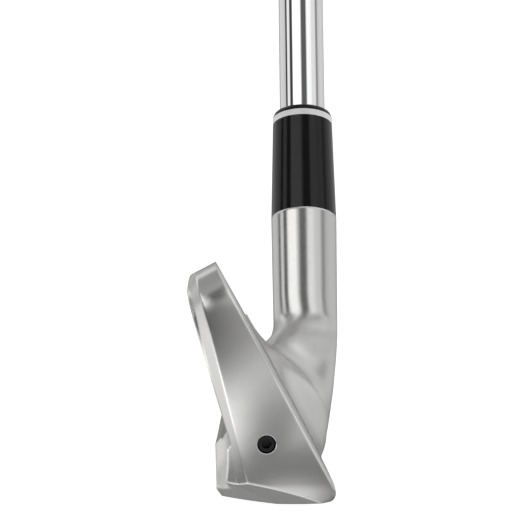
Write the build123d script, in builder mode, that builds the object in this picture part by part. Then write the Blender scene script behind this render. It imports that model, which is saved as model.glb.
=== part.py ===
"""A middle-iron golf club: cast cavity-back head, toe weight, ferrule, stepped steel shaft and rubber grip.

Everything is drawn in millimetres with +Z up from the ground, +X towards the target and -Y past the
toe, from the point where the shaft's axis meets the ground when the club is soled at its lie angle.
The last section moves the pieces so that the files' origin is the centre of the hitting face.
"""

import os
from math import cos, radians, sin, tan

from build123d import *

# ---------------------------------------------------------------- driving dimensions
LIE = 62.0  # angle between the shaft and the ground
LOFT = 29.0  # angle between the face and the vertical
FACE_OFFSET = 3.5  # normal distance from the origin to the face plane
FACE_STOCK = 0.3  # left on the face before it is milled flat
FACE_HEEL_Y = -19.5  # the milled flat of the face ends here
MILL_R = 0.8  # radius left by the mill at the heel end of the flat

# Distances named *_AT are measured along the shaft's axis, from the ground.
HOSEL_TOP_AT = 54.2
HOSEL_BASE_AT = 31.0
BORE_FLOOR_AT = 27.5
SHAFT_TIP_AT = 28.5
FIRST_STEP_AT = 208.0
GRIP_MOUTH_AT = 672.0
SHAFT_BUTT_AT = 933.0
CLUB_END_AT = 940.0

HOSEL_TOP_R = 6.75
HOSEL_BASE_R = 6.55
BORE_R = 4.78
CROTCH_CLEARANCE = 6.0  # from the hosel's toe side to the centre of the crotch's curve

TOPLINE_AT_ORIGIN = 26.3  # height of the topline up the face, carried on to Y = 0
TOPLINE_SLOPE = 0.5
TOPLINE_WIDTH = 5.5
TOPLINE_BEVEL = 1.4
SOLE_REST_Y = -33.0  # where the cambered sole touches the ground
SOLE_TOE_CAMBER_R = 200.0
SOLE_HEEL_CAMBER_R = 345.0
BAR_TOP_Z = 11.5
BAR_REAR_X = -21.4
BAR_TAPER = 0.08  # how fast the muscle bar gets narrower towards the heel
BAR_TAPER_Y = -50.0

FACE_THICKNESS = 3.0
TOPLINE_RIM = 4.8
POCKET_HEEL_Y = -13.0
POCKET_TOE_Y = -58.2
POCKET_PEAK_Y = -50.5  # the top edge of the pocket turns down the toe here
POCKET_TOE_TOP_H = 40.0
POCKET_TOE_FOOT_H = 31.0
POCKET_FOOT_Y = -38.5  # the toe side of the pocket meets its floor here
POCKET_FLOOR_H = 12.5
POCKET_CORNER_R = 3.0
BADGE_GAP = 0.3  # between the badge and the pocket's walls
PAD_THICKNESS = 1.0
FILM_THICKNESS = 0.2
PLATE_THICKNESS = 0.9

CHANNEL_DEPTH_FROM = 3.4  # the tuning channel, behind the face
CHANNEL_DEPTH_TO = 6.4
CHANNEL_FLOOR_H = 6.5
CHANNEL_HEEL_Y = -17.0
CHANNEL_TOE_Y = -41.0
CHANNEL_CORNER_R = 1.2
INSERT_DROP = 1.6  # how far the insert's top lies below the pocket's floor

SCORE_LINES = 13
SCORE_PITCH = 3.2
SCORE_FIRST_H = 7.2
SCORE_HEEL_Y = -21.5
SCORE_TOE_Y = -56.0
SCORE_WIDTH = 0.8
SCORE_DEPTH = 0.4
SCORE_TOP_MARGIN = 4.5  # between the lines and the topline

PORT_H = 18.4  # centre of the toe weight's port, up the face
PORT_DEPTH_BEHIND_FACE = 7.55
PORT_R = 1.80
PORT_FLOOR_Y = -49.6
SCREW_R = 1.76
SCREW_LENGTH = 4.8
SCREW_HEAD_Y = -62.9
SLUG_LENGTH = 6.4
STUB_R = 0.9
STUB_LENGTH = 1.6
HEX_ACROSS_CORNERS_R = 1.0
HEX_DEPTH = 1.6
RUNNING_GAP = 0.04

SHAFT_TIP_R = 4.70
SHAFT_BUTT_R = 7.62
SHAFT_TIP_WALL = 0.95
SHAFT_BUTT_WALL = 0.55
SHAFT_STEPS = 14
STEP_PITCH = 33.0
STEP_RAMP = 1.2
TIP_WEIGHT_LENGTH = 14.0
BAND_STEP = 11  # the band sits on the plain length after this step
BAND_CLEARANCE = 4.0
BAND_LENGTH = 26.0
BAND_THICKNESS = 0.12

FERRULE_BODY_LENGTH = 21.1
FERRULE_RING_LENGTH = 1.3
FERRULE_CAP_LENGTH = 1.2
FERRULE_NECK_R = 6.2
FERRULE_CAP_R = 5.6

TAPE_THICKNESS = 0.18
GRIP_MOUTH_R = 9.6
GRIP_BUTT_R = 11.6
GRIP_CAP_R = 13.4
GRIP_CAP_LENGTH = 5.0
GRIP_CAP_EDGE_R = 1.8
GRIP_FLARE_LENGTH = 14.0
GROOVE_BANDS = (14.0, 180.0)  # where each band of rings starts, from the grip's mouth
GROOVES_PER_BAND = 8
GROOVE_PITCH = 5.0
GROOVE_WIDTH = 1.0
GROOVE_DEPTH = 0.35
VENT_R = 2.2

N = Vector(cos(radians(LOFT)), 0, sin(radians(LOFT)))  # out of the face
UP_FACE = Vector(-sin(radians(LOFT)), 0, cos(radians(LOFT)))
AXIS = Vector(0, cos(radians(LIE)), sin(radians(LIE)))  # up the shaft
ACROSS = Vector(0, sin(radians(LIE)), -cos(radians(LIE)))  # square to it, towards the heel
FACE = Plane(origin=N * FACE_OFFSET, x_dir=(0, 1, 0), z_dir=N)

FAR = 90  # well clear of the head

os.makedirs("parts", exist_ok=True)


def shaft_plane(distance):
    """Plane square to the shaft's axis, a distance up it from the ground."""
    return Plane(origin=AXIS * distance, x_dir=(1, 0, 0), z_dir=AXIS)


def meridian():
    """Plane through the shaft's axis: local x is the radius, local y is the distance up the axis."""
    return Plane(origin=(0, 0, 0), x_dir=(1, 0, 0), z_dir=-ACROSS)


def behind_face(h, depth):
    """(X, Z) of a point a height up the face and a depth behind it."""
    point = N * (FACE_OFFSET - depth) + UP_FACE * h
    return (point.X, point.Z)


def revolved(label, outline):
    """A solid of revolution about the shaft's axis, from (radius, distance up the axis) corners."""
    with BuildPart() as piece:
        with BuildSketch(meridian()):
            with BuildLine():
                Polyline(*outline, close=True)
            make_face()
        revolve(axis=Axis((0, 0, 0), AXIS))
    piece.part.label = label
    return piece


# ---------------------------------------------------------------- head sections
# A section of the head is nine cubic curves between nine corners, going round from the leading edge:
# 0 foot of the face, 1 topline front, 2 topline rear, 3 topline bevel, 4 foot of the rim,
# 5 top of the muscle bar, 6 foot of the bar, 7 rear of the sole, 8 front of the sole.
HOSEL_CORNER_ANGLES = (-35, 110, 150, 165, 195, 215, 240, 252, 300)


def line_handles(a, b):
    return [a, (a[0] + (b[0] - a[0]) / 3, a[1] + (b[1] - a[1]) / 3),
            (b[0] + (a[0] - b[0]) / 3, b[1] + (a[1] - b[1]) / 3), b]


def arc_handles(a, bend, b):
    near = (a[0] + (bend[0] - a[0]) * 2 / 3, a[1] + (bend[1] - a[1]) * 2 / 3)
    far = (b[0] + (bend[0] - b[0]) * 2 / 3, b[1] + (bend[1] - b[1]) * 2 / 3)
    return [a, near, far, b]


def topline_h(y):
    return TOPLINE_AT_ORIGIN - TOPLINE_SLOPE * y


def blade_section(y):
    """Curves of the blade's section at a distance y from the shaft, as (X, Z) points."""
    camber_r = SOLE_TOE_CAMBER_R if y < SOLE_REST_Y else SOLE_HEEL_CAMBER_R
    lift = (y - SOLE_REST_Y) ** 2 / (2 * camber_r)
    narrower = max(0, y - BAR_TAPER_Y) * BAR_TAPER
    foot_h = 4.0 + lift
    top_h = topline_h(y)
    corners = [
        behind_face(foot_h, -FACE_STOCK),
        behind_face(top_h, -FACE_STOCK),
        behind_face(top_h + 0.1, TOPLINE_WIDTH),
        behind_face(top_h - 2.1, TOPLINE_WIDTH + TOPLINE_BEVEL),
        (BAR_REAR_X + 2.25 + narrower, BAR_TOP_Z + 2.9),
        (BAR_REAR_X + narrower, BAR_TOP_Z),
        (BAR_REAR_X + 0.45 + narrower, 2.6 + lift),
        (BAR_REAR_X + 1.35 + narrower, 0.5 + lift),
        (0.3, 1.15 + lift),
    ]
    curves = [line_handles(a, b) for a, b in zip(corners, corners[1:] + corners[:1])]
    curves[7] = arc_handles(corners[7], (-9.5, -0.7 + lift), corners[8])
    curves[8] = arc_handles(corners[8], (1.9, 1.9 + lift), corners[0])
    return curves


def round_section(radius, centre_z):
    """Curves of the hosel's round section, split at the corners the blade's section has."""
    curves = []
    ends = HOSEL_CORNER_ANGLES[1:] + (HOSEL_CORNER_ANGLES[0] + 360,)
    for start, end in zip(HOSEL_CORNER_ANGLES, ends):
        a, b = radians(start), radians(end)
        reach = 4 / 3 * tan((b - a) / 4) * radius
        first = (radius * cos(a), centre_z + radius * sin(a))
        last = (radius * cos(b), centre_z + radius * sin(b))
        curves.append([
            first,
            (first[0] - reach * sin(a), first[1] + reach * cos(a)),
            (last[0] + reach * sin(b), last[1] - reach * cos(b)),
            last,
        ])
    return curves


def blended_section(round_curves, blade_curves, front, back, height):
    """Between round (0) and blade (1): the front's and the back's share along X, and the share along Z."""
    share = [
        [front, front, front, back],
        *[[back] * 4] * 6,
        [back, back, front, front],
        [front] * 4,
    ]
    return [
        [
            (p[0] + (q[0] - p[0]) * x_share, p[1] + (q[1] - p[1]) * height)
            for p, q, x_share in zip(round_curve, blade_curve, shares)
        ]
        for round_curve, blade_curve, shares in zip(round_curves, blade_curves, share)
    ]


def section_face(plane, curves):
    edges = [
        Bezier(*[plane.from_local_coords((x, z, 0)) for x, z in curve], mode=Mode.PRIVATE)
        for curve in curves
    ]
    return Face(Wire(edges))


# The neck turns from the hosel into the blade about a pivot above the crotch.
pivot = AXIS * HOSEL_BASE_AT - ACROSS * (HOSEL_BASE_R + CROTCH_CLEARANCE)
hub_z = -(HOSEL_BASE_R + CROTCH_CLEARANCE)
# Turn from the blade's plane in degrees, then the front, back and height shares.
FAN = (
    (LIE, 0.00, 0.00, 0.00),
    (53.0, 0.00, 0.03, 0.02),
    (43.0, 0.01, 0.12, 0.09),
    (31.0, 0.04, 0.30, 0.25),
    (16.0, 0.11, 0.62, 0.55),
    (0.0, 0.25, 0.90, 0.92),
)
# Distance along Y, then the same three shares; the spacing grows steadily so the skin stays fair.
BLADE = (
    (-2.0, 0.39, 0.98, 1.0),
    (-8.5, 0.72, 1.0, 1.0),
    (-16.5, 0.976, 1.0, 1.0),
    (-26.0, 1.0, 1.0, 1.0),
    (-37.0, 1.0, 1.0, 1.0),
    (-49.5, 1.0, 1.0, 1.0),
    (-66.5, 1.0, 1.0, 1.0),
)


def head_sections():
    faces = []
    heel = [[(x, z - pivot.Z) for x, z in curve] for curve in blade_section(pivot.Y)]
    for turn, front, back, height in FAN:
        ahead = (0, -cos(radians(turn)), -sin(radians(turn)))
        plane = Plane(origin=pivot, x_dir=(1, 0, 0), z_dir=ahead)
        curves = blended_section(round_section(HOSEL_BASE_R, hub_z), heel, front, back, height)
        faces.append(section_face(plane, curves))
    for y, front, back, height in BLADE:
        plane = Plane(origin=(0, y, 0), x_dir=(1, 0, 0), z_dir=(0, -1, 0))
        hosel = round_section(HOSEL_BASE_R, hub_z + pivot.Z)
        curves = blended_section(hosel, blade_section(y), front, back, height)
        faces.append(section_face(plane, curves))
    return faces


def hosel_sections():
    top_origin = pivot + AXIS * (HOSEL_TOP_AT - HOSEL_BASE_AT)
    top = Plane(origin=top_origin, x_dir=(1, 0, 0), z_dir=-AXIS)
    base = Plane(origin=pivot, x_dir=(1, 0, 0), z_dir=-AXIS)
    return [
        section_face(top, round_section(HOSEL_TOP_R, hub_z)),
        section_face(base, round_section(HOSEL_BASE_R, hub_z)),
    ]


# ---------------------------------------------------------------- face
with BuildPart() as face_mill:
    with BuildSketch(Plane(origin=N * FACE_OFFSET, x_dir=(0, 1, 0), z_dir=-UP_FACE)):
        with BuildLine():
            flat = Line((-FAR, 0), (FACE_HEEL_Y, 0))
            run_out = JernArc(start=flat @ 1, tangent=(1, 0), radius=MILL_R, arc_size=90)
            Polyline(run_out @ 1, (FACE_HEEL_Y + MILL_R, FAR), (-FAR, FAR), flat @ 0)
        make_face()
    extrude(amount=FAR, both=True)

# ---------------------------------------------------------------- toe
TOE_CURVE = (
    (-38, 47.5), (-47, 51.3), (-53, 52.2), (-58.5, 49.5), (-62.8, 40),
    (-64.3, 28.5), (-63.2, 16.5), (-59.5, 7), (-53, 0),
)
TOE_CENTRE = (-36, 25)
TOE_EDGE = 0.45  # width of the small bevel round the face
RIM_TILT = -0.25  # depth gained per height by the back of the rim
RIM_DEPTH_AT_ORIGIN = 17.5
RIM_BEVEL_DEPTH = 1.9
RIM_BEVEL_INSET = 1.6


def toe_slice(depth, tilt, inset):
    """Everything on the heel side of the toe's curve, on a plane a depth behind the face."""
    def place(y, h):
        return N * (FACE_OFFSET - depth - tilt * h) + UP_FACE * h + Vector(0, y, 0)

    points = []
    for y, h in TOE_CURVE:
        away = Vector(y - TOE_CENTRE[0], h - TOE_CENTRE[1], 0)
        share = 1 - inset / away.length
        points.append(place(TOE_CENTRE[0] + away.X * share, TOE_CENTRE[1] + away.Y * share))
    frame = [points[-1], place(-50, -FAR), place(FAR, -FAR), place(FAR, FAR), place(-38, FAR), points[0]]
    edges = [Spline(*points, mode=Mode.PRIVATE)]
    edges += [Edge.make_line(a, b) for a, b in zip(frame, frame[1:])]
    return Face(Wire(edges))


with BuildPart() as toe_block:
    loft(
        sections=[
            toe_slice(-FAR, 0, TOE_EDGE),
            toe_slice(0, 0, TOE_EDGE),
            toe_slice(TOE_EDGE, 0, 0),
            toe_slice(RIM_DEPTH_AT_ORIGIN, RIM_TILT, 0),
            toe_slice(RIM_DEPTH_AT_ORIGIN + RIM_BEVEL_DEPTH, RIM_TILT, RIM_BEVEL_INSET),
            toe_slice(RIM_DEPTH_AT_ORIGIN + 30, RIM_TILT, RIM_BEVEL_INSET + 4),
        ],
        ruled=True,
    )

# The toe's lower corner is ground away by two flats that fan out from its rear end.
# Each is a point on the flat, its rise towards the toe and its rise towards the rear.
TOE_FLATS = (
    ((-9.5, -51.0, 0.8), 0.435, 0.122),
    ((-19.75, -46.0, 2.0), 0.300, 0.263),
)


def ground_away(point, toe_rise, rear_rise):
    """Everything below a sloping flat."""
    with BuildPart(Plane(origin=point, z_dir=(rear_rise, toe_rise, 1))) as waste:
        Box(FAR, FAR, FAR, align=(Align.CENTER, Align.CENTER, Align.MAX))
    return waste


# A thumb-shaped hollow takes off the toe end of the muscle bar.
THUMB_CENTRE_Y = -55.4
THUMB_R = 11.3
THUMB_SWEEP_R = 14.0
THUMB_MID = (-28.9, 13.0)  # X and Z of the middle of the thumb
with BuildPart(Location((THUMB_MID[0] - THUMB_SWEEP_R, THUMB_CENTRE_Y, THUMB_MID[1]))) as thumb:
    Torus(THUMB_SWEEP_R, THUMB_R, rotation=(90, 0, 0))

# ---------------------------------------------------------------- cavity
def pocket_outline(inset):
    """Corners of the back pocket on the face's plane, drawn in by an inset."""
    floor_h = POCKET_FLOOR_H - 2  # below the floor, which the bar's slope cuts
    rim_drop = TOPLINE_RIM + inset
    return [
        (POCKET_HEEL_Y - inset, floor_h),
        (POCKET_HEEL_Y - inset, topline_h(POCKET_HEEL_Y) - rim_drop),
        (POCKET_PEAK_Y + inset * 0.6, topline_h(POCKET_PEAK_Y) - rim_drop),
        (POCKET_TOE_Y + inset, POCKET_TOE_TOP_H),
        (POCKET_TOE_Y + inset, POCKET_TOE_FOOT_H + inset * 0.4),
        (POCKET_FOOT_Y + inset * 0.5, floor_h),
    ]


def pocket_block(depth_from, depth_to, inset):
    """The pocket's outline carried back from one depth behind the face to another."""
    with BuildPart() as block:
        with BuildSketch(FACE.offset(-depth_from)) as outline:
            with BuildLine():
                Polyline(*pocket_outline(inset), close=True)
            make_face()
            fillet(outline.vertices(), POCKET_CORNER_R)
        extrude(amount=-(depth_to - depth_from))
    return block


floor_x, floor_z = behind_face(POCKET_FLOOR_H, FACE_THICKNESS)
with BuildPart() as above_bar:
    with BuildSketch(Plane.XZ):
        with BuildLine():
            Polyline(
                (floor_x + 20, floor_z - 0.4),
                (floor_x, floor_z),
                (BAR_REAR_X + 0.95, BAR_TOP_Z + 1.3),
                (BAR_REAR_X - 30, BAR_TOP_Z + 3.5),
                (BAR_REAR_X - 30, 80),
                (floor_x + 20, 80),
                close=True,
            )
        make_face()
    extrude(amount=80)

with BuildPart() as pocket:
    add(pocket_block(FACE_THICKNESS, 40.0, 0).part)
    add(above_bar.part, mode=Mode.INTERSECT)

# ---------------------------------------------------------------- toe weight port
port_x, port_z = behind_face(PORT_H, PORT_DEPTH_BEHIND_FACE)


def port_plane(y):
    """Plane square to the weight port, facing out of the toe."""
    return Plane(origin=(port_x, y, port_z), x_dir=(1, 0, 0), z_dir=(0, -1, 0))


# ---------------------------------------------------------------- head casting
def channel_block(top_h):
    """The tuning channel, sunk into the bar just behind the face."""
    with BuildPart() as block:
        with BuildSketch(FACE.offset(-CHANNEL_DEPTH_FROM)) as outline:
            with Locations(((CHANNEL_HEEL_Y + CHANNEL_TOE_Y) / 2, (CHANNEL_FLOOR_H + top_h) / 2)):
                Rectangle(CHANNEL_HEEL_Y - CHANNEL_TOE_Y, top_h - CHANNEL_FLOOR_H)
            fillet(outline.vertices().sort_by(Axis.Y)[:2], CHANNEL_CORNER_R)
        extrude(amount=CHANNEL_DEPTH_FROM - CHANNEL_DEPTH_TO)
    return block


with BuildPart() as head_casting:
    loft(sections=head_sections(), clean=False)
    loft(sections=hosel_sections(), ruled=True, clean=False)
    add(face_mill.part, mode=Mode.SUBTRACT, clean=False)
    add(toe_block.part, mode=Mode.INTERSECT, clean=False)
    for point, toe_rise, rear_rise in TOE_FLATS:
        add(ground_away(point, toe_rise, rear_rise).part, mode=Mode.SUBTRACT, clean=False)
    add(thumb.part, mode=Mode.SUBTRACT, clean=False)
    add(pocket.part, mode=Mode.SUBTRACT, clean=False)
    add(channel_block(POCKET_FLOOR_H + 1).part, mode=Mode.SUBTRACT, clean=False)
    with BuildSketch(shaft_plane(HOSEL_TOP_AT)):
        Circle(BORE_R)
    extrude(amount=-(HOSEL_TOP_AT - BORE_FLOOR_AT), mode=Mode.SUBTRACT, clean=False)
    with BuildSketch(port_plane(PORT_FLOOR_Y)):
        Circle(PORT_R)
    extrude(amount=20, mode=Mode.SUBTRACT, clean=False)
    with BuildSketch(FACE):
        for line in range(SCORE_LINES):
            h = SCORE_FIRST_H + line * SCORE_PITCH
            under_topline = (TOPLINE_AT_ORIGIN - SCORE_TOP_MARGIN - h) / TOPLINE_SLOPE
            heel_end = min(SCORE_HEEL_Y, under_topline)
            with Locations(((heel_end + SCORE_TOE_Y) / 2, h)):
                SlotOverall(heel_end - SCORE_TOE_Y, SCORE_WIDTH)
    extrude(amount=-SCORE_DEPTH, mode=Mode.SUBTRACT, clean=False)
head_casting.part.label = "head_casting"

# ---------------------------------------------------------------- pieces in the cavity
def badge_layer(label, depth_from, depth_to, inset):
    """One layer of the badge, cut to the pocket's outline and to the slope of the bar."""
    with BuildPart() as layer:
        add(pocket_block(depth_from, depth_to, inset).part)
        add(above_bar.part, mode=Mode.INTERSECT)
    layer.part.label = label
    return layer


pad_back = FACE_THICKNESS + PAD_THICKNESS
film_back = pad_back + FILM_THICKNESS
plate_back = film_back + PLATE_THICKNESS
badge_damping_pad = badge_layer("badge_damping_pad", FACE_THICKNESS, pad_back, BADGE_GAP)
badge_adhesive_film = badge_layer("badge_adhesive_film", pad_back, film_back, BADGE_GAP)
cavity_badge_plate = badge_layer("cavity_badge_plate", film_back, plate_back, BADGE_GAP)

with BuildPart() as tuning_port_insert:
    add(channel_block(POCKET_FLOOR_H - INSERT_DROP).part)
tuning_port_insert.part.label = "tuning_port_insert"

# ---------------------------------------------------------------- toe weight and its screw
screw_foot_y = SCREW_HEAD_Y + SCREW_LENGTH
slug_foot_y = screw_foot_y + RUNNING_GAP + SLUG_LENGTH

with BuildPart() as toe_weight_screw:
    with BuildSketch(port_plane(screw_foot_y)):
        Circle(SCREW_R)
    extrude(amount=SCREW_LENGTH)
    chamfer(toe_weight_screw.edges().sort_by(Axis.Y)[0], 0.25)
    with BuildSketch(port_plane(screw_foot_y)):
        Circle(STUB_R)
    extrude(amount=-STUB_LENGTH)
    with BuildSketch(port_plane(SCREW_HEAD_Y)):
        RegularPolygon(HEX_ACROSS_CORNERS_R, 6)
    extrude(amount=-HEX_DEPTH, mode=Mode.SUBTRACT)
toe_weight_screw.part.label = "toe_weight_screw"

with BuildPart() as toe_weight_slug:
    with BuildSketch(port_plane(slug_foot_y)):
        Circle(SCREW_R)
    extrude(amount=SLUG_LENGTH)
    with BuildSketch(port_plane(screw_foot_y)):
        Circle(STUB_R + RUNNING_GAP)
    extrude(amount=-STUB_LENGTH - 2 * RUNNING_GAP, mode=Mode.SUBTRACT)
    chamfer(toe_weight_slug.edges().sort_by(Axis.Y)[-1], 0.3)
toe_weight_slug.part.label = "toe_weight_slug"


# ---------------------------------------------------------------- ferrule
ferrule_ring_at = HOSEL_TOP_AT + FERRULE_BODY_LENGTH
ferrule_cap_at = ferrule_ring_at + FERRULE_RING_LENGTH
ferrule_top_at = ferrule_cap_at + FERRULE_CAP_LENGTH
ferrule_body = revolved("ferrule_body", [
    (SHAFT_TIP_R, HOSEL_TOP_AT), (HOSEL_TOP_R, HOSEL_TOP_AT),
    (FERRULE_NECK_R, ferrule_ring_at), (SHAFT_TIP_R, ferrule_ring_at),
])
ferrule_trim_ring = revolved("ferrule_trim_ring", [
    (SHAFT_TIP_R, ferrule_ring_at), (FERRULE_NECK_R, ferrule_ring_at),
    (FERRULE_NECK_R, ferrule_cap_at), (SHAFT_TIP_R, ferrule_cap_at),
])
ferrule_cap = revolved("ferrule_cap", [
    (SHAFT_TIP_R, ferrule_cap_at), (FERRULE_NECK_R, ferrule_cap_at),
    (FERRULE_NECK_R - 0.08, ferrule_cap_at + 0.5), (FERRULE_CAP_R + 0.3, ferrule_top_at - 0.2),
    (FERRULE_CAP_R, ferrule_top_at), (SHAFT_TIP_R, ferrule_top_at),
])

# ---------------------------------------------------------------- shaft and what is bonded to it
def outer_r(step):
    """Outer radius of the shaft after a number of steps up from the tip."""
    return SHAFT_TIP_R + (SHAFT_BUTT_R - SHAFT_TIP_R) * step / SHAFT_STEPS


last_step_at = FIRST_STEP_AT + (SHAFT_STEPS - 1) * STEP_PITCH
shaft_outline = [(SHAFT_TIP_R - SHAFT_TIP_WALL, SHAFT_TIP_AT), (SHAFT_TIP_R, SHAFT_TIP_AT)]
for step in range(SHAFT_STEPS):
    at = FIRST_STEP_AT + step * STEP_PITCH
    shaft_outline += [(outer_r(step), at), (outer_r(step + 1), at + STEP_RAMP)]
shaft_outline += [
    (SHAFT_BUTT_R, SHAFT_BUTT_AT),
    (SHAFT_BUTT_R - SHAFT_BUTT_WALL, SHAFT_BUTT_AT),
    (SHAFT_BUTT_R - SHAFT_BUTT_WALL, last_step_at + STEP_RAMP),
    (SHAFT_TIP_R - SHAFT_TIP_WALL, FIRST_STEP_AT),
]
shaft = revolved("shaft", shaft_outline)

inner_tip_r = SHAFT_TIP_R - SHAFT_TIP_WALL
shaft_tip_weight = revolved("shaft_tip_weight", [
    (0, SHAFT_TIP_AT), (inner_tip_r, SHAFT_TIP_AT),
    (inner_tip_r, SHAFT_TIP_AT + TIP_WEIGHT_LENGTH), (0, SHAFT_TIP_AT + TIP_WEIGHT_LENGTH),
])
hosel_epoxy = revolved("hosel_epoxy", [
    (0, BORE_FLOOR_AT), (BORE_R, BORE_FLOOR_AT), (BORE_R, HOSEL_TOP_AT),
    (SHAFT_TIP_R, HOSEL_TOP_AT), (SHAFT_TIP_R, SHAFT_TIP_AT), (0, SHAFT_TIP_AT),
])

band_r = outer_r(BAND_STEP)
band_at = FIRST_STEP_AT + (BAND_STEP - 1) * STEP_PITCH + BAND_CLEARANCE
shaft_band = revolved("shaft_band", [
    (band_r, band_at), (band_r + BAND_THICKNESS, band_at),
    (band_r + BAND_THICKNESS, band_at + BAND_LENGTH), (band_r, band_at + BAND_LENGTH),
])

# ---------------------------------------------------------------- grip
tape_r = SHAFT_BUTT_R + TAPE_THICKNESS
cap_at = CLUB_END_AT - GRIP_CAP_LENGTH
grip_tape = revolved("grip_tape", [
    (SHAFT_BUTT_R, GRIP_MOUTH_AT + 2), (tape_r, GRIP_MOUTH_AT + 2),
    (tape_r, SHAFT_BUTT_AT), (SHAFT_BUTT_R, SHAFT_BUTT_AT),
])

flare_at = cap_at - GRIP_FLARE_LENGTH
with BuildPart() as grip_sleeve:
    with BuildSketch(meridian()):
        with BuildLine():
            Polyline(
                (tape_r, GRIP_MOUTH_AT), (GRIP_MOUTH_R - 0.6, GRIP_MOUTH_AT),
                (GRIP_MOUTH_R, GRIP_MOUTH_AT + 0.8), (GRIP_BUTT_R, flare_at),
            )
            ThreePointArc(
                (GRIP_BUTT_R, flare_at),
                (GRIP_BUTT_R + 0.35, flare_at + GRIP_FLARE_LENGTH / 2),
                (GRIP_CAP_R, cap_at),
            )
            Polyline(
                (GRIP_CAP_R, cap_at), (tape_r - 1.0, cap_at), (tape_r - 1.0, SHAFT_BUTT_AT),
                (tape_r, SHAFT_BUTT_AT), (tape_r, GRIP_MOUTH_AT),
            )
        make_face()
    revolve(axis=Axis((0, 0, 0), AXIS))
    with BuildSketch(meridian()):
        for band in GROOVE_BANDS:
            for groove in range(GROOVES_PER_BAND):
                from_mouth = band + groove * GROOVE_PITCH
                along = from_mouth / (flare_at - GRIP_MOUTH_AT)
                skin_r = GRIP_MOUTH_R + (GRIP_BUTT_R - GRIP_MOUTH_R) * along
                with Locations((skin_r, GRIP_MOUTH_AT + from_mouth)):
                    Rectangle(GROOVE_DEPTH * 2, GROOVE_WIDTH)
    revolve(axis=Axis((0, 0, 0), AXIS), mode=Mode.SUBTRACT)
grip_sleeve.part.label = "grip_sleeve"

with BuildPart() as grip_end_cap:
    with BuildSketch(shaft_plane(cap_at)):
        Circle(GRIP_CAP_R)
    extrude(amount=GRIP_CAP_LENGTH)
    fillet(grip_end_cap.faces().sort_by(Axis((0, 0, 0), AXIS))[-1].edges(), GRIP_CAP_EDGE_R)
    with BuildSketch(shaft_plane(CLUB_END_AT)):
        Circle(VENT_R)
    extrude(amount=-GRIP_CAP_LENGTH, mode=Mode.SUBTRACT)
grip_end_cap.part.label = "grip_end_cap"

# ---------------------------------------------------------------- files
FACE_CENTRE_Y = -38.0
FACE_CENTRE_H = SCORE_FIRST_H + 4.5 * SCORE_PITCH  # on the land between the fifth and sixth lines
face_centre = Vector(0, FACE_CENTRE_Y, 0) + N * FACE_OFFSET + UP_FACE * FACE_CENTRE_H
to_row_frame = Location(face_centre * -1)

PIECES = (
    head_casting, badge_damping_pad, badge_adhesive_film, cavity_badge_plate, tuning_port_insert,
    toe_weight_screw, toe_weight_slug, ferrule_body, ferrule_trim_ring, ferrule_cap,
    shaft, shaft_tip_weight, hosel_epoxy, shaft_band, grip_tape, grip_sleeve, grip_end_cap,
)
for piece in PIECES:
    moved = piece.part.moved(to_row_frame)
    moved.label = piece.part.label
    export_step(moved, f"parts/{moved.label}.step")
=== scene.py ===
"""The looks of an iron golf club in a white studio.

Satin cast head, gloss ferrule, chrome shaft and rubber grip.
"""

import math

import bpy
from mathutils import Matrix, Vector


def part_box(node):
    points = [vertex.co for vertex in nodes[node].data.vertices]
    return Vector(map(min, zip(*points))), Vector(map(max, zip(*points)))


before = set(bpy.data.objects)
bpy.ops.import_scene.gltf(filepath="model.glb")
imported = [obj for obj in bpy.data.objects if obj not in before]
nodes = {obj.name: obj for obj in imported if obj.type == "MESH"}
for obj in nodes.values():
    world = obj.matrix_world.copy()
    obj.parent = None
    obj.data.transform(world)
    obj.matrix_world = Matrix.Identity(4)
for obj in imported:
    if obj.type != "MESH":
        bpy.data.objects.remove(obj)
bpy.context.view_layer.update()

# ---------------------------------------------------------------- measures of the club, in metres
LIE = math.radians(62.0)
LOFT = math.radians(29.0)
SHAFT_AXIS = Vector((0, math.cos(LIE), math.sin(LIE)))
AXIS_FRONT = Vector((0, -math.sin(LIE), math.cos(LIE)))  # square to the shaft, towards the toe
AXIS_SIDE = Vector((1, 0, 0))  # square to the shaft, towards the target
FACE_NORMAL = Vector((math.cos(LOFT), 0, math.sin(LOFT)))  # the frame's origin is on the face
ring_low, ring_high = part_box("ferrule_trim_ring")
AXIS_POINT = (ring_low + ring_high) / 2  # the ring is centred on the shaft's axis
screw_low, screw_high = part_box("toe_weight_screw")
screw_centre = (screw_low + screw_high) / 2
screw_centre.y = screw_low.y  # the screw's outer end
ground_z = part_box("head_casting")[0].z

# ---------------------------------------------------------------- the head's finish, in metres
# How widely polishing has rolled each kind of edge over.
EDGE_RADIUS = 0.0007
SOLE_EDGE_RADIUS = 0.0018
SOLE_EDGE_TOP = (-0.0175, -0.0140)  # height over which the sole's wider edge passes to the others
GROOVE_RADIUS = 0.0001
PORT_EDGE_RADIUS = 0.00025
PORT_REACH = (0.0024, 0.0030)  # off the screw's centre, where the port's edge passes to the rest
NECK_RADIUS = 0.0070
EDGE_SAMPLES = 8
BADGE_EDGE_RADIUS = 0.0002
BADGE_EDGE_SAMPLES = 6
EDGE_HIGHLIGHT_TURN = (0.93, 0.995)  # cosine of the roll, from full painted highlight to none

# Where each region of the head lies: heelwards, behind the face, or up.
SCORED_REACH = (-0.0195, -0.0185, 0.0170, 0.0178)  # heelwards, where the score lines lie
SCORED_DEPTH = (-0.0015, -0.0009)  # behind the face
NECK_REACH = (0.0160, 0.0180, 0.060, 0.070)  # heelwards, fading in and out
NECK_DEPTH = (-0.008, -0.003)  # behind the face, over which the blend's front fades in
NECK_TOP = (0.004, 0.014)  # height over which the neck's blend fades out
FACING_TOE = (0.45, 0.8)  # cosine off the toe's direction, over which a surface counts as the toe's

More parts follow.
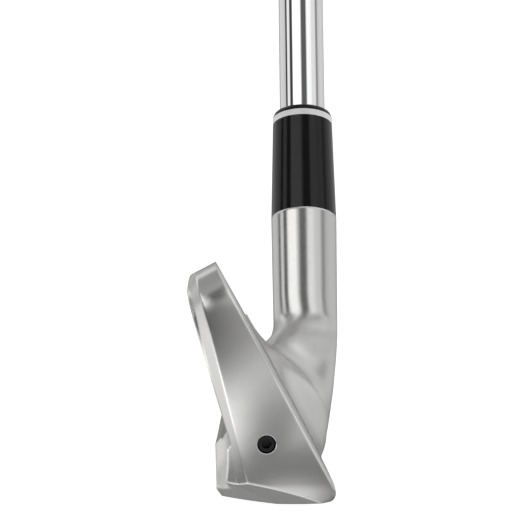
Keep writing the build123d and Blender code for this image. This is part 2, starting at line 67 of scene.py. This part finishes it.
# How the finish leans the shading off the flat surfaces. None of this moves the surface itself.
CROWN_MIDDLE = -0.0085  # depth behind the face where the toe's crown points at the viewer
CROWN_MIDDLE_SLOPE = 0.13  # how much nearer to the face that is higher up
CROWN_LEAN = 38.0  # lean of the surface per metre off the crown's middle
CROWN_END = (-0.008, 0.000)  # heelwards, where the crown fades out
TOP_LEAN = 0.20  # extra lean to the target at the toe's top corner
TOP_LEAN_FROM = (0.018, 0.022)  # height over which it comes in
ROLL_LEAN = 0.22  # how far the toe's foot is rolled downwards
ROLL_REACH = (-0.0175, -0.0140)  # height over which the roll fades out
HOSEL_LEAN = 0.15  # how far the hosel's front leans to the target

SATIN_COLOR = (0.66, 0.655, 0.64, 1)
# painted highlight: the base colour that the edges are lightened to
EDGE_HIGHLIGHT_COLOR = (0.96, 0.96, 0.95, 1)
SATIN_ROUGHNESS = (0.19, 0.22)
SATIN_GRAIN_SCALE = 1500
SATIN_GRAIN_DEPTH = 0.000002
METAL_GRAIN_STRENGTH = 0.25
METAL_GRAIN_DETAIL = 4.0
POLYMER_GRAIN_STRENGTH = 0.2

GRIP_RIBS = 16
GRIP_RIB_PITCH = 0.008
GRIP_RIB_DEPTH = 0.0003
GRIP_RIB_FLANK = (0.02, 0.3)  # wave height over which a diamond rises
GRIP_RIB_STRENGTH = 0.7
# painted shade: how dark the hollows between the grip's diamonds are coloured
GRIP_HOLLOW_PAINTED_SHADE = 0.55
GRIP_GRAIN_SCALE = 1200
GRIP_GRAIN_DEPTH = 0.00003
GRIP_GRAIN_STRENGTH = 0.3
GRIP_ROUGHNESS = (0.55, 0.8)


# ---------------------------------------------------------------- material helpers
def new_material(name):
    material = bpy.data.materials.new(name)
    material.use_nodes = True
    tree = material.node_tree
    return material, tree, tree.nodes["Principled BSDF"]


def calc(tree, operation, *values):
    """One maths node; each value is a number or another node's output."""
    node = tree.nodes.new("ShaderNodeMath")
    node.operation = operation
    for slot, value in zip(node.inputs, values):
        if isinstance(value, (int, float)):
            slot.default_value = value
        else:
            tree.links.new(value, slot)
    return node.outputs["Value"]


def vector_calc(tree, operation, output, *values):
    """One vector maths node; each value is a constant or another node's output."""
    node = tree.nodes.new("ShaderNodeVectorMath")
    node.operation = operation
    for slot, value in zip(node.inputs, values):
        if isinstance(value, bpy.types.NodeSocket):
            tree.links.new(value, slot)
        else:
            slot.default_value = value
    return node.outputs[output]


def along(tree, vector, axis, origin=(0, 0, 0)):
    """How far a vector reaches along an axis, counted from an origin."""
    offset = vector_calc(tree, "SUBTRACT", "Vector", vector, origin)
    return vector_calc(tree, "DOT_PRODUCT", "Value", offset, axis)


def object_coords(tree):
    return tree.nodes.new("ShaderNodeTexCoord").outputs["Object"]


def mapped(tree, scale):
    mapping = tree.nodes.new("ShaderNodeMapping")
    mapping.inputs["Scale"].default_value = scale
    tree.links.new(object_coords(tree), mapping.inputs["Vector"])
    return mapping.outputs["Vector"]


def noise(tree, vector, scale, detail=3.0):
    """Cloudy texture, mostly between 0.3 and 0.7."""
    texture = tree.nodes.new("ShaderNodeTexNoise")
    texture.inputs["Scale"].default_value = scale
    texture.inputs["Detail"].default_value = detail
    tree.links.new(vector, texture.inputs["Vector"])
    return texture.outputs["Fac"]


def ranged(tree, value, low, high, start=0.3, end=0.7):
    """Value going from start to end, turned into low to high."""
    node = tree.nodes.new("ShaderNodeMapRange")
    node.interpolation_type = "SMOOTHSTEP"
    node.inputs["From Min"].default_value = start
    node.inputs["From Max"].default_value = end
    node.inputs["To Min"].default_value = low
    node.inputs["To Max"].default_value = high
    tree.links.new(value, node.inputs["Value"])
    return node.outputs["Result"]


def bump(tree, height, strength, distance, normal=None):
    """Normal of a surface with these heights, on top of another normal if one is given."""
    node = tree.nodes.new("ShaderNodeBump")
    node.inputs["Strength"].default_value = strength
    node.inputs["Distance"].default_value = distance
    tree.links.new(height, node.inputs["Height"])
    if normal is not None:
        tree.links.new(normal, node.inputs["Normal"])
    return node.outputs["Normal"]


def rounded(tree, radius, samples):
    """Normal that rolls over sharp edges; the radius is a number or another node's output."""
    node = tree.nodes.new("ShaderNodeBevel")
    node.samples = samples
    if isinstance(radius, bpy.types.NodeSocket):
        tree.links.new(radius, node.inputs["Radius"])
    else:
        node.inputs["Radius"].default_value = radius
    return node.outputs["Normal"]


def mixed(tree, kind, factor, first, second):
    """A blend of two colours or vectors; each is a constant or another node's output."""
    node = tree.nodes.new("ShaderNodeMix")
    node.data_type = kind
    slots = [slot for slot in node.inputs if slot.enabled]
    for slot, value in zip(slots, (factor, first, second)):
        if isinstance(value, bpy.types.NodeSocket):
            tree.links.new(value, slot)
        else:
            slot.default_value = value
    return next(slot for slot in node.outputs if slot.enabled)


def window(tree, value, edges):
    """1 between the middle two edges, fading to 0 at the outer two."""
    rise = ranged(tree, value, 0, 1, edges[0], edges[1])
    fall = ranged(tree, value, 1, 0, edges[2], edges[3])
    return calc(tree, "MULTIPLY", rise, fall)


def metal(name, color, rough_low, rough_high, grain_scale, grain_stretch, grain_depth, edge=0.0):
    """Metal with a drawn grain: roughness and a fine bump follow stretched noise."""
    material, tree, shader = new_material(name)
    shader.inputs["Base Color"].default_value = (*color, 1)
    shader.inputs["Metallic"].default_value = 1.0
    grain = noise(tree, mapped(tree, grain_stretch), grain_scale, METAL_GRAIN_DETAIL)
    tree.links.new(ranged(tree, grain, rough_low, rough_high), shader.inputs["Roughness"])
    normal = rounded(tree, edge, BADGE_EDGE_SAMPLES) if edge else None
    normal = bump(tree, grain, METAL_GRAIN_STRENGTH, grain_depth, normal)
    tree.links.new(normal, shader.inputs["Normal"])
    return material


def polymer(name, color, rough_low, rough_high, grain_scale, grain_depth, specular=0.5):
    """Plastic, rubber or paper: dull colour with a fine moulded grain."""
    material, tree, shader = new_material(name)
    shader.inputs["Base Color"].default_value = (*color, 1)
    shader.inputs["Specular IOR Level"].default_value = specular
    grain = noise(tree, mapped(tree, (1, 1, 1)), grain_scale)
    tree.links.new(ranged(tree, grain, rough_low, rough_high), shader.inputs["Roughness"])
    normal = bump(tree, grain, POLYMER_GRAIN_STRENGTH, grain_depth)
    tree.links.new(normal, shader.inputs["Normal"])
    return material


def grip_rubber(name, color):
    """Rubber with a moulded diamond pattern: two sets of ribs winding opposite ways, with painted shade
    darkening the hollows between the diamonds.
    """
    material, tree, shader = new_material(name)
    coords = object_coords(tree)
    to_side = along(tree, coords, AXIS_SIDE, AXIS_POINT)
    to_front = along(tree, coords, AXIS_FRONT, AXIS_POINT)
    turn = calc(tree, "ARCTAN2", to_side, to_front)
    reach = along(tree, coords, SHAFT_AXIS, AXIS_POINT)
    rise = calc(tree, "MULTIPLY", reach, math.tau / GRIP_RIB_PITCH)
    wound = calc(tree, "MULTIPLY", turn, GRIP_RIBS)
    one_way = calc(tree, "SINE", calc(tree, "ADD", rise, wound))
    other_way = calc(tree, "SINE", calc(tree, "SUBTRACT", rise, wound))
    wave = calc(tree, "MULTIPLY", one_way, other_way)
    diamonds = ranged(tree, wave, 0.0, 1.0, *GRIP_RIB_FLANK)
    grain = noise(tree, coords, GRIP_GRAIN_SCALE)
    # painted shade: the hollows between the diamonds are coloured darker
    painted_hollow_shade_color = (*[channel * GRIP_HOLLOW_PAINTED_SHADE for channel in color], 1)
    shade = mixed(tree, "RGBA", diamonds, painted_hollow_shade_color, (*color, 1))
    tree.links.new(shade, shader.inputs["Base Color"])
    tree.links.new(ranged(tree, grain, *GRIP_ROUGHNESS), shader.inputs["Roughness"])
    fine = bump(tree, grain, GRIP_GRAIN_STRENGTH, GRIP_GRAIN_DEPTH)
    normal = bump(tree, diamonds, GRIP_RIB_STRENGTH, GRIP_RIB_DEPTH, fine)
    tree.links.new(normal, shader.inputs["Normal"])
    return material


def polished_radius(tree, place, regions):
    """How widely the edges are rolled over at each place on the head."""
    radius = ranged(tree, place["up"], SOLE_EDGE_RADIUS, EDGE_RADIUS, *SOLE_EDGE_TOP)
    radius = mixed(tree, "FLOAT", regions["neck"], radius, NECK_RADIUS)
    radius = mixed(tree, "FLOAT", regions["scored"], radius, GROOVE_RADIUS)
    off_screw = vector_calc(tree, "DISTANCE", "Value", place["coords"], screw_centre)
    port = ranged(tree, off_screw, 1, 0, *PORT_REACH)
    return mixed(tree, "FLOAT", port, radius, PORT_EDGE_RADIUS)


def finish_lean(tree, place, true_normal):
    """Lean of the shading: a crowned toe with a rolled foot, and a turned hosel."""
    facing_toe = ranged(tree, along(tree, true_normal, (0, -1, 0)), 0, 1, *FACING_TOE)
    middle = calc(tree, "MULTIPLY_ADD", place["up"], CROWN_MIDDLE_SLOPE, CROWN_MIDDLE)
    off_middle = calc(tree, "SUBTRACT", place["behind_face"], middle)
    lean = calc(tree, "MULTIPLY", off_middle, CROWN_LEAN)
    lean = calc(tree, "ADD", lean, ranged(tree, place["up"], 0, TOP_LEAN, *TOP_LEAN_FROM))
    lean = calc(tree, "MULTIPLY", lean, facing_toe)
    lean = calc(tree, "MULTIPLY", lean, ranged(tree, place["heelward"], 1, 0, *CROWN_END))
    past_crown = ranged(tree, place["heelward"], 0, 1, *CROWN_END)
    hosel = calc(tree, "MULTIPLY", past_crown, ranged(tree, place["up"], 0, 1, *NECK_TOP))
    lean = calc(tree, "MULTIPLY_ADD", hosel, HOSEL_LEAN, lean)
    roll = ranged(tree, place["up"], -ROLL_LEAN, 0, *ROLL_REACH)
    combined = tree.nodes.new("ShaderNodeCombineXYZ")
    tree.links.new(lean, combined.inputs["X"])
    tree.links.new(calc(tree, "MULTIPLY", roll, facing_toe), combined.inputs["Z"])
    return combined.outputs["Vector"]


def cast_satin(name):
    """Satin-polished cast steel: crowned toe, smooth neck, and edges lightened by a painted highlight.
    """
    material, tree, shader = new_material(name)
    shader.inputs["Metallic"].default_value = 1.0
    coords = object_coords(tree)
    true_normal = tree.nodes.new("ShaderNodeNewGeometry").outputs["Normal"]
    place = {
        "coords": coords,
        "up": along(tree, coords, (0, 0, 1)),
        "heelward": along(tree, coords, (0, 1, 0)),
        "behind_face": along(tree, coords, FACE_NORMAL),
    }

    below_hosel = ranged(tree, place["up"], 1, 0, *NECK_TOP)
    neck = calc(tree, "MULTIPLY", window(tree, place["heelward"], NECK_REACH), below_hosel)
    at_front = ranged(tree, place["behind_face"], 0, 1, *NECK_DEPTH)
    neck = calc(tree, "MULTIPLY", neck, at_front)
    on_face = ranged(tree, place["behind_face"], 0, 1, *SCORED_DEPTH)
    scored = calc(tree, "MULTIPLY", window(tree, place["heelward"], SCORED_REACH), on_face)
    radius = polished_radius(tree, place, {"neck": neck, "scored": scored})
    rolled = rounded(tree, radius, EDGE_SAMPLES)

    # a painted highlight lightens the base colour where the rolled normal departs from the surface's
    # own
    same = vector_calc(tree, "DOT_PRODUCT", "Value", rolled, true_normal)
    painted_edge_highlight = ranged(tree, same, 1, 0, *EDGE_HIGHLIGHT_TURN)
    for region in (neck, scored):
        painted_edge_highlight = calc(tree, "MULTIPLY", painted_edge_highlight, calc(tree, "SUBTRACT", 1, region))

    leaned = vector_calc(tree, "ADD", "Vector", rolled, finish_lean(tree, place, true_normal))
    leaned = vector_calc(tree, "NORMALIZE", "Vector", leaned)
    grain = noise(tree, coords, SATIN_GRAIN_SCALE, METAL_GRAIN_DETAIL)
    # the base colour carries the painted highlight along the edges
    color = mixed(tree, "RGBA", painted_edge_highlight, SATIN_COLOR, EDGE_HIGHLIGHT_COLOR)
    tree.links.new(color, shader.inputs["Base Color"])
    tree.links.new(ranged(tree, grain, *SATIN_ROUGHNESS), shader.inputs["Roughness"])
    normal = bump(tree, grain, METAL_GRAIN_STRENGTH, SATIN_GRAIN_DEPTH, leaned)
    tree.links.new(normal, shader.inputs["Normal"])
    return material


def paint(node, material):
    """Gives a CAD node this material alone."""
    mesh = nodes[node].data
    mesh.materials.clear()
    mesh.materials.append(material)


# Metals: colour, roughness low and high, grain scale, grain stretch, grain depth.
satin = cast_satin("satin_steel")
chrome = metal("shaft_chrome", (0.86, 0.86, 0.87), 0.03, 0.05, 400, (1, 1, 0.05), 0.000001)
badge = metal(
    "badge_aluminium", (0.20, 0.21, 0.22), 0.30, 0.42, 600, (1, 0.05, 1), 0.00001, BADGE_EDGE_RADIUS,
)
brass = metal("tip_weight_brass", (0.80, 0.62, 0.33), 0.25, 0.35, 500, (1, 1, 1), 0.00001)
tungsten = metal("slug_tungsten", (0.35, 0.35, 0.36), 0.35, 0.5, 900, (1, 1, 1), 0.00001)
# Polymers: colour, roughness low and high, grain scale, grain depth, and how much they shine.
screw_black = polymer("screw_black", (0.006, 0.006, 0.007), 0.3, 0.45, 1500, 0.00001, 0.25)
ferrule_black = polymer("ferrule_black", (0.006, 0.006, 0.007), 0.10, 0.16, 500, 0.000002, 0.28)
ferrule_white = polymer("ferrule_white", (0.80, 0.80, 0.79), 0.18, 0.28, 500, 0.000002)
rubber = grip_rubber("grip_rubber", (0.035, 0.035, 0.037))
cap_rubber = polymer("cap_rubber", (0.030, 0.030, 0.032), 0.55, 0.75, 1200, 0.00003)
pad = polymer("pad_rubber", (0.05, 0.05, 0.055), 0.5, 0.7, 900, 0.00002)
film = polymer("adhesive_film", (0.75, 0.75, 0.72), 0.3, 0.5, 900, 0.00001)
epoxy = polymer("epoxy", (0.70, 0.62, 0.42), 0.15, 0.3, 300, 0.00001)
band = polymer("band_print", (0.30, 0.31, 0.34), 0.2, 0.3, 900, 0.00001)
tape = polymer("tape_paper", (0.80, 0.75, 0.60), 0.7, 0.9, 900, 0.00003)

FINISHES = {
    "head_casting": satin, "badge_damping_pad": pad, "badge_adhesive_film": film,
    "cavity_badge_plate": badge, "tuning_port_insert": pad, "hosel_epoxy": epoxy,
    "shaft_tip_weight": brass, "ferrule_body": ferrule_black, "ferrule_trim_ring": ferrule_white,
    "ferrule_cap": ferrule_black, "shaft": chrome, "shaft_band": band, "grip_tape": tape,
    "grip_sleeve": rubber, "grip_end_cap": cap_rubber, "toe_weight_slug": tungsten,
    "toe_weight_screw": screw_black,
}
for node, material in FINISHES.items():
    paint(node, material)

# ---------------------------------------------------------------- floor
FLOOR_REACH = 60.0  # half of its side
FLOOR_DROP = 0.0002  # below the sole
FLOOR_COLOR = (0.5, 0.5, 0.5, 1)
FLOOR_ROUGHNESS = 0.9
FLOOR_GLOW = 0.85  # its own light, which keeps it pale

corners = [(x * FLOOR_REACH, y * FLOOR_REACH, 0) for x, y in ((-1, -1), (1, -1), (1, 1), (-1, 1))]
floor_mesh = bpy.data.meshes.new("floor")
floor_mesh.from_pydata(corners, [], [(0, 1, 2, 3)])
floor = bpy.data.objects.new("floor", floor_mesh)
floor.location.z = ground_z - FLOOR_DROP
bpy.context.scene.collection.objects.link(floor)
floor.visible_glossy = False  # the club mirrors the studio's own lower half instead
material, tree, shader = new_material("floor")
shader.inputs["Base Color"].default_value = FLOOR_COLOR
shader.inputs["Roughness"].default_value = FLOOR_ROUGHNESS
shader.inputs["Emission Color"].default_value = (1, 1, 1, 1)
shader.inputs["Emission Strength"].default_value = FLOOR_GLOW
floor_mesh.materials.append(material)

# ---------------------------------------------------------------- studio light
# What the metal mirrors, as pairs of degrees and brightness. TUBE is the ring of directions a
# straight tube mirrors to the viewer, by the turn about the shaft (0 faces the viewer, negative
# is to the left). VIEWER_LEFT and VIEWER_RIGHT are the two halves of the rest of the viewer's
# side, by height above the horizon. SURROUND is everything else, by the turn about the shaft.
TUBE = (
    (-180, 0.20), (-158, 0.45), (-140, 0.75), (-110, 0.70), (-97, 0.60), (-93, 0.03), (-86, 0.03),
    (-82, 0.95), (-70, 0.95), (-66, 0.06), (-54, 0.06), (-48, 1.5), (-14, 1.5), (-3, 0.12),
    (18, 0.12), (25, 1.15), (44, 1.10), (50, 0.85), (72, 0.80), (76, 0.30), (86, 0.30),
    (90, 0.62), (112, 0.72), (140, 0.65), (155, 0.45), (168, 0.20), (180, 0.12),
)
VIEWER_LEFT = (
    (-90, 0.8), (-50, 1.0), (-42, 0.2), (-32, 0.3), (-18, 1.5), (-6, 1.5), (4, 0.5), (13, 0.1),
    (35, 0.1), (50, 0.4), (90, 0.4),
)
VIEWER_RIGHT = (
    (-90, 0.8), (-55, 0.9), (-42, 0.25), (-16, 0.4), (0, 0.8), (12, 0.4), (35, 0.7), (90, 0.4),
)
SURROUND = (
    (-180, 0.2), (-150, 0.6), (-125, 0.45), (-110, 1.0), (30, 1.0), (110, 0.65), (140, 0.8), (180, 0.2),
)
TUBE_TILT = (57, 64, 75, 81)  # angle off the shaft's axis where the ring fades in and out
VIEWER_TURN = (-95, -75, 48, 80)  # turn where the viewer's side fades in and out
LOW_DOWN = (-34, -22)  # height below which the viewer's side reaches all the way round
LEFT_TO_RIGHT = (-28, 34)  # turn over which the viewer's left passes into the right
LIGHT_LEVEL = 1.6  # brightest level a strip can have
WALL_COLOR = (1, 1, 1, 1)  # what the camera itself sees

world = bpy.data.worlds.new("studio")
bpy.context.scene.world = world
world.use_nodes = True
tree = world.node_tree
direction = tree.nodes.new("ShaderNodeTexCoord").outputs["Generated"]


def strips(angle, stops):
    """Brightness by angle, running straight from each given pair to the next."""
    ramp = tree.nodes.new("ShaderNodeValToRGB")
    first = stops[0][0]
    span = stops[-1][0] - first
    share = calc(tree, "DIVIDE", calc(tree, "SUBTRACT", angle, first), span)
    tree.links.new(share, ramp.inputs["Fac"])
    places = ramp.color_ramp.elements
    for index, (degrees, level) in enumerate(stops):
        place = (degrees - first) / span
        if index == 0:
            stop = places[0]
        elif index == len(stops) - 1:
            stop = places[-1]
        else:
            stop = places.new(place)
        stop.color = (*[level / LIGHT_LEVEL] * 3, 1)
    return ramp.outputs["Color"]


turn = calc(
    tree, "DEGREES",
    calc(tree, "ARCTAN2", along(tree, direction, AXIS_SIDE), along(tree, direction, AXIS_FRONT)),
)
tilt = calc(tree, "DEGREES", calc(tree, "ARCCOSINE", along(tree, direction, SHAFT_AXIS)))
height = calc(tree, "DEGREES", calc(tree, "ARCSINE", along(tree, direction, (0, 0, 1))))
viewer = mixed(
    tree, "RGBA", ranged(tree, turn, 0, 1, *LEFT_TO_RIGHT),
    strips(height, VIEWER_LEFT), strips(height, VIEWER_RIGHT),
)
low_down = ranged(tree, height, 1, 0, *LOW_DOWN)
viewer_share = calc(tree, "MAXIMUM", window(tree, turn, VIEWER_TURN), low_down)
around = mixed(tree, "RGBA", viewer_share, strips(turn, SURROUND), viewer)
mirrored = mixed(tree, "RGBA", window(tree, tilt, TUBE_TILT), around, strips(turn, TUBE))
background = tree.nodes["Background"]
background.inputs["Strength"].default_value = LIGHT_LEVEL
tree.links.new(mirrored, background.inputs["Color"])

# The camera itself sees a plain white wall.
wall = tree.nodes.new("ShaderNodeBackground")
wall.inputs["Color"].default_value = WALL_COLOR
light_path = tree.nodes.new("ShaderNodeLightPath")
either = tree.nodes.new("ShaderNodeMixShader")
tree.links.new(light_path.outputs["Is Camera Ray"], either.inputs["Fac"])
tree.links.new(background.outputs["Background"], either.inputs[1])
tree.links.new(wall.outputs["Background"], either.inputs[2])
tree.links.new(either.outputs["Shader"], tree.nodes["World Output"].inputs["Surface"])

# ---------------------------------------------------------------- camera
CAMERA_DISTANCE = 0.8105
CAMERA_DROP = math.radians(6.13)  # looks down by this much
CAMERA_YAW = math.radians(3.59)  # stands behind the face line by this much
CAMERA_ROLL = math.radians(1.23)
CAMERA_AIM = Vector((-0.00226, 0.04300, 0.02024))
LENS_MM = 274.3
SENSOR_MM = 36.0
CAMERA_CLIP = 0.05
look = Vector((
    math.sin(CAMERA_YAW) * math.cos(CAMERA_DROP),
    math.cos(CAMERA_YAW) * math.cos(CAMERA_DROP),
    -math.sin(CAMERA_DROP),
))
level_right = Vector((math.cos(CAMERA_YAW), -math.sin(CAMERA_YAW), 0))
level_up = level_right.cross(look)
right = level_right * math.cos(CAMERA_ROLL) + level_up * math.sin(CAMERA_ROLL)
up = level_up * math.cos(CAMERA_ROLL) - level_right * math.sin(CAMERA_ROLL)
camera_data = bpy.data.cameras.new("camera")
camera_data.lens = LENS_MM
camera_data.sensor_width = SENSOR_MM
camera_data.clip_start = CAMERA_CLIP
camera = bpy.data.objects.new("camera", camera_data)
bpy.context.scene.collection.objects.link(camera)
eye = CAMERA_AIM - look * CAMERA_DISTANCE
camera.matrix_world = Matrix((
    (right.x, up.x, -look.x, eye.x),
    (right.y, up.y, -look.y, eye.y),
    (right.z, up.z, -look.z, eye.z),
    (0, 0, 0, 1),
))
bpy.context.scene.camera = camera
bpy.context.scene.view_settings.view_transform = "Standard"
